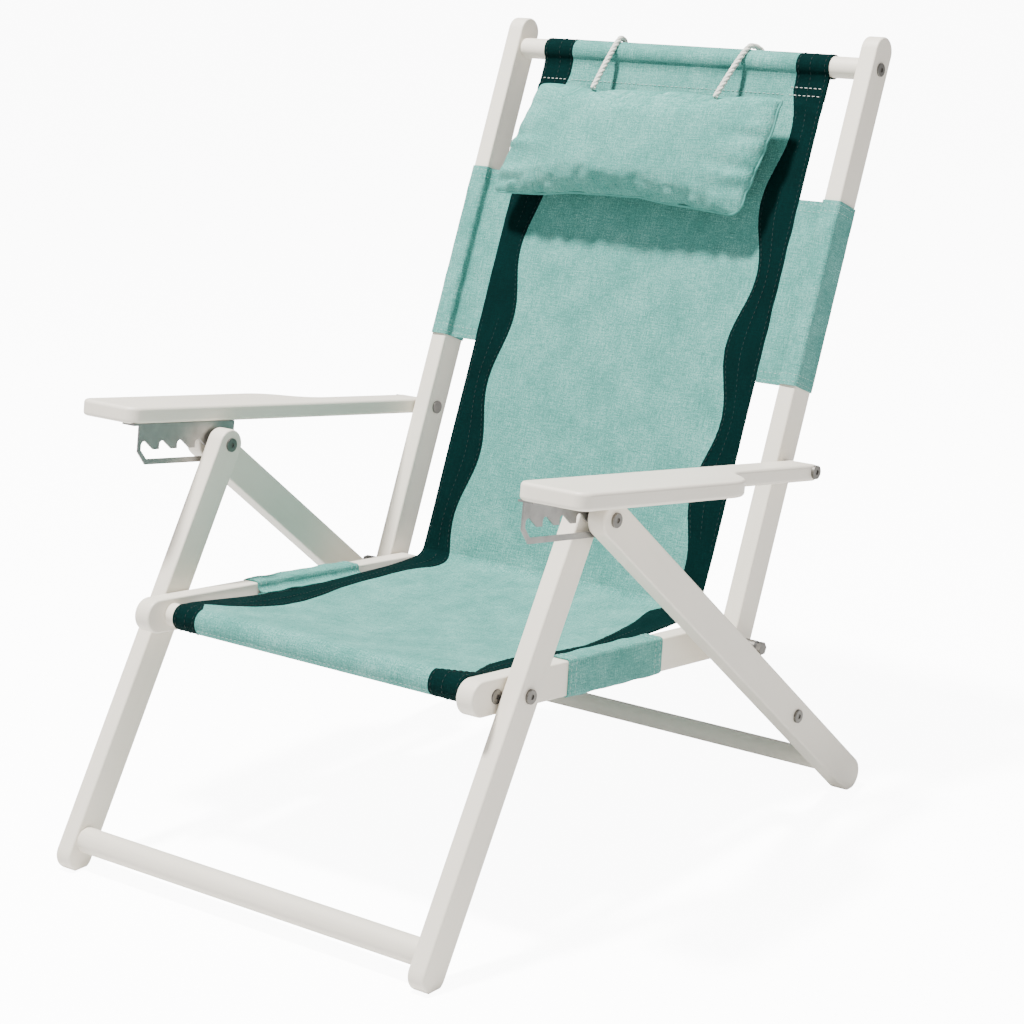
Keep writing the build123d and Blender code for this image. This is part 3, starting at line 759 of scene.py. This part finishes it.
def wrap_section(side, rail, depth, strip_height):
    """Outline of a canvas sleeve round a rail, as (X, height), from the sling's edge and back."""
    inner, outer = sorted(abs(corner[0]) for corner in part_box(rail))
    top, low = depth / 2 + WRAP_SKIN, -depth / 2 - WRAP_SKIN
    near, far = inner - WRAP_SKIN, outer + WRAP_SKIN
    r = WRAP_CORNER
    corners = (((near + r, top - r), 180), ((far - r, top - r), 90),
               ((far - r, low + r), 0), ((near + r, low + r), -90))
    joined = SLING_EDGE + 0.0004
    points = [np.array(p) for p in ((joined, strip_height), (near - 0.004, strip_height + 0.0003),
                                    (near, strip_height + 0.0035))]
    for middle, start in corners:
        points += arc(np.array(middle), r, start, start - 90, 5)
    points += [np.array(p) for p in ((near, strip_height - 0.0045),
                                     (near - 0.0035, strip_height - 0.0022),
                                     (joined, strip_height - 0.0020))]
    return np.array([(side * x, h) for x, h in resample(points, 0.003)])


def make_wrap(name, node, rail, section, side, start, direction, length, materials):
    """Sleeve of canvas round a rail, with stitched ends and a slightly uneven lie."""
    upward = np.array([-direction[1], direction[0]])
    if upward[1] < 0:
        upward = -upward
    count = max(8, int(length / WRAP_STEP))
    columns = len(section)
    tangent = unit(np.gradient(section, axis=0))
    normal = np.stack([-tangent[:, 1], tangent[:, 0]], axis=1) * side
    around = arc_lengths(section)
    surface, outward, uv = [], [], []
    for row in range(count + 1):
        travel = length * row / count
        base = start + direction * travel
        end_pull = 0.0008 * (np.exp(-travel / 0.006) + np.exp(-(length - travel) / 0.006))
        for (x, h), (nx, nh), s in zip(section, normal, around):
            wave = sin(140 * travel + 60 * s) * sin(36 * travel + 2 * s)
            lift = (1 - abs(nx)) * (0.0007 + 0.0008 * wave - 0.6 * end_pull)
            place = base + upward * (h + nh * lift)
            surface.append((x + nx * lift, *place))
            outward.append((nx, *(upward * nh)))
            uv.append((s, travel))
    stock = Stock()
    closed_sheet(stock, surface, outward, count + 1, columns, WRAP_CANVAS,
                 [0] * (count * (columns - 1)), uv)
    grid = np.array(surface).reshape(count + 1, columns, 3)
    push = np.array(outward).reshape(count + 1, columns, 3) * 0.0001
    for row in (1, 3, count - 3, count - 1):
        add_stitches(stock, grid[row] + push[row], 1, radius=0.0003)
    piece = stock.piece(name, [materials["canvas"], materials["stitch"]])
    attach(piece, rail.split("_")[0])
    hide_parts(node)


def make_wraps(materials):
    for word, side in (("left", -1), ("right", 1)):
        rail = f"seat_rail_{word}"
        front_y, rear_y = SLEEVE_Y[word]
        start = BACK_PIVOT + SEAT_AHEAD * ((rear_y - BACK_PIVOT[0]) / SEAT_AHEAD[0])
        length = (front_y - rear_y) / SEAT_AHEAD[0]
        section = wrap_section(side, rail, SEAT_RAIL_DEPTH, SEAT_RAIL_DEPTH / 2 - 0.009)
        make_wrap(f"sleeve_{word}", f"seat_sleeve_{word}", rail, section, side, start, SEAT_AHEAD,
                  length, materials)
        rail = f"back_rail_{word}"
        section = wrap_section(side, rail, BACK_RAIL_DEPTH, SLING_FRONT - 0.0005)
        make_wrap(f"flap_{word}", f"back_flap_{word}", rail, section, side, on_back(FLAP_TO), -BACK_UP,
                  FLAP_TO - FLAP_FROM, materials)


# ---------------------------------------------------------------- pillow

def pillow_outline(u, v):
    """(X, distance up the back) for u and v from -1 to 1 across the pillow."""
    a, b, c, d = (np.array(corner) for corner in PILLOW_CORNERS)
    low = a + (b - a) * (u + 1) / 2
    high = d + (c - d) * (u + 1) / 2
    return low + (high - low) * (v + 1) / 2


def pillow_start():
    """Slack two-layer cushion in (X, distance, front) before it is inflated."""
    centre = pillow_outline(0, 0)
    count = PILLOW_GRID
    steps = np.linspace(-1, 1, count)
    front, rear = [], []
    for v in steps:
        for u in steps:
            full_u = 1 + 0.012 * (1 - v * v)
            full_v = 1 + 0.130 * (1 - u * u)
            point = centre + (pillow_outline(u * full_u, v * full_v) - centre) * 1.035
            crown = 0.026 * ((1 - u ** 2) * (1 - v ** 2)) ** 0.5
            front.append((*point, 0.002 + crown))
            rear.append((*point, -0.002 - crown * 0.9))
    faces = grid_faces(count, count)
    total = count * count
    edge = [(a, total + a, total + b, b) for a, b in rim_pairs(count, count)]
    flipped = [tuple(total + i for i in face[::-1]) for face in faces]
    return front + rear, faces + flipped + edge


def inflate(piece):
    """Blow the cushion up as cloth, with each point's travel capped."""
    remesh = piece.modifiers.new("even_mesh", "REMESH")
    remesh.mode = "VOXEL"
    remesh.voxel_size = 0.005
    settle(piece)
    rest = positions(piece)
    cloth = piece.modifiers.new("pressure", "CLOTH")
    cloth.settings.quality = 6
    cloth.settings.mass = 0.25
    cloth.settings.tension_stiffness = 18
    cloth.settings.compression_stiffness = 18
    cloth.settings.bending_stiffness = 0.4
    cloth.settings.use_pressure = True
    cloth.settings.uniform_pressure_force = 4
    cloth.settings.effector_weights.gravity = 0
    cloth.collision_settings.use_self_collision = False
    for number in range(1, CLOTH_FRAMES + 1):
        bpy.context.scene.frame_set(number)
        bpy.context.view_layer.update()
    settle(piece)
    bpy.context.scene.frame_set(1)
    moved = positions(piece) - rest
    size = np.linalg.norm(moved, axis=1, keepdims=True)
    rest += moved * np.minimum(1, PILLOW_CAP / np.maximum(size, 1e-9))
    return rest


def settle(piece):
    """Apply the piece's modifiers to its mesh."""
    evaluated = piece.evaluated_get(bpy.context.evaluated_depsgraph_get())
    mesh = bpy.data.meshes.new_from_object(evaluated)
    piece.modifiers.clear()
    old = piece.data
    piece.data = mesh
    bpy.data.meshes.remove(old)


def positions(piece):
    flat = np.empty(len(piece.data.vertices) * 3)
    piece.data.vertices.foreach_get("co", flat)
    return flat.reshape(-1, 3)


def pleated(x, n, reach_x, reach_s, s):
    """Front distances of the pillow's points, with gathers that fade away from its seam."""
    edge = np.clip(np.maximum(abs(reach_x), abs(reach_s)), 0, 1)
    along = np.where(abs(reach_x) > abs(reach_s), s, x)
    pleats = np.sin(along * tau / 0.031 + 1.7 * np.sign(reach_x)) * np.exp(-((1 - edge) / 0.30) ** 2)
    pleats += 0.6 * np.sin(along * tau / 0.019 + 0.8) * np.exp(-((1 - edge) / 0.2) ** 2)
    pleats *= np.where(reach_s < 0, 1.5, 0.8)
    face = np.sign(n) * np.clip(abs(n) / 0.012, 0, 1)
    return n + face * PLEAT_HEIGHT * pleats


def make_pillow(materials):
    stock = Stock()
    stock.add(*pillow_start(), 0)
    piece = stock.piece("pillow_cushion", [materials["pillow"]])
    shape = inflate(piece)
    piece.data.vertices.foreach_set("co", shape.ravel())
    divide = piece.modifiers.new("smooth", "SUBSURF")
    divide.levels = 1
    divide.render_levels = 1
    settle(piece)

    x, s, n = positions(piece).T
    centre = pillow_outline(0, 0)
    reach_x = (x - centre[0]) / PILLOW_HALF_WIDTH
    reach_s = (s - centre[1]) / PILLOW_HALF_HEIGHT
    n = n * (PILLOW_THICKNESS / 2) / max(n.max(), -n.min())
    n = SLING_FRONT + PILLOW_THICKNESS / 2 + pleated(x, n, reach_x, reach_s, s)
    n = np.maximum(n, SLING_FRONT + 0.0012)
    world = np.stack([x, BACK_PIVOT[0] + BACK_UP[0] * s + BACK_FRONT[0] * n,
                      BACK_PIVOT[1] + BACK_UP[1] * s + BACK_FRONT[1] * n], axis=1)
    low_corner, high_corner = (np.array(corner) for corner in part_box("pillow"))
    world = np.clip(world, low_corner - 0.004, high_corner + 0.004)
    piece.data.vertices.foreach_set("co", world.ravel())
    piece.data.polygons.foreach_set("use_smooth", [True] * len(piece.data.polygons))
    project_uv(piece, x, s, n)
    piece.data.update()
    welt = make_welt(world, np.arctan2(reach_s, reach_x), np.hypot(reach_s, reach_x), materials)

    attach(piece, "back")
    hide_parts("pillow")
    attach(welt, "back")


def make_welt(world, angle, size, materials):
    """Welted seam through the outermost points of the pillow, all the way round."""
    rim = []
    for aim in np.linspace(-pi, pi, 161)[:-1]:
        near = np.abs((angle - aim + pi) % tau - pi) < 0.035
        rim.append(world[np.flatnonzero(near)[np.argmax(size[near])]])
    rim = np.array(rim)
    for _ in range(3):
        rim = rim / 2 + (np.roll(rim, 1, axis=0) + np.roll(rim, -1, axis=0)) / 4
    seam = Stock()
    add_tube(seam, rim, WELT_RADIUS, 0, closed=True)
    return seam.piece("pillow_seam", [materials["pillow"]])


def project_uv(piece, x, s, n):
    """UVs in metres, laid flat over the pillow's face."""
    mesh = piece.data
    while mesh.uv_layers:
        mesh.uv_layers.remove(mesh.uv_layers[0])
    layer = mesh.uv_layers.new(name="metres")
    corners = np.empty(len(mesh.loops), dtype=int)
    mesh.loops.foreach_get("vertex_index", corners)
    layer.data.foreach_set("uv", np.stack([x, s + 0.7 * n], axis=1)[corners].ravel())


# ---------------------------------------------------------------- stage

def make_stage():
    shader = Shader("floor", (0.90, 0.90, 0.90), 0.75)
    shader.bsdf.inputs["Emission Color"].default_value = (1, 1, 1, 1)
    path = shader.node("ShaderNodeLightPath")
    glow = shader.math("MULTIPLY", path.outputs["Is Camera Ray"], BACKDROP_STRENGTH)
    shader.link(shader.math("ADD", glow, FLOOR_GLOW), shader.bsdf.inputs["Emission Strength"])
    stock = Stock()
    corners = ((-1, -1), (1, -1), (1, 1), (-1, 1))
    stock.add([(FLOOR_SIZE * x, FLOOR_SIZE * y, -FLOOR_DROP) for x, y in corners], [(0, 1, 2, 3)], 0)
    stock.piece("floor", [shader.material])
    world = bpy.data.worlds.new("studio")
    world.use_nodes = True
    world.node_tree.nodes["Background"].inputs["Color"].default_value = (0.97, 0.985, 1.0, 1)
    bright_sky(world.node_tree)
    bpy.context.scene.world = world
    for light in LIGHTS:
        add_light(*light)


def bright_sky(tree):
    """Make the backdrop beyond the floor as bright as the floor, for the camera alone."""
    seen = tree.nodes.new("ShaderNodeLightPath")
    strength = tree.nodes.new("ShaderNodeMapRange")
    strength.inputs["To Min"].default_value = SKY_STRENGTH
    strength.inputs["To Max"].default_value = BACKDROP_STRENGTH
    tree.links.new(seen.outputs["Is Camera Ray"], strength.inputs["Value"])
    tree.links.new(strength.outputs["Result"], tree.nodes["Background"].inputs["Strength"])


def add_light(name, place, size, power, colour):
    data = bpy.data.lights.new(name, "AREA")
    data.shape = "DISK"
    data.size = size
    data.energy = power
    data.color = colour
    light = bpy.data.objects.new(name, data)
    aim = Vector(LIGHTS_AIM) - Vector(place)
    light.matrix_world = Matrix.Translation(place) @ aim.to_track_quat("-Z", "Y").to_matrix().to_4x4()
    bpy.context.collection.objects.link(light)


materials = make_materials()
make_camera()
make_stage()
paint_nodes(materials)
make_cord("right", CORD_RIGHT, materials)
make_cord("left", CORD_LEFT, materials)
make_slings(materials)
make_wraps(materials)
make_pillow(materials)
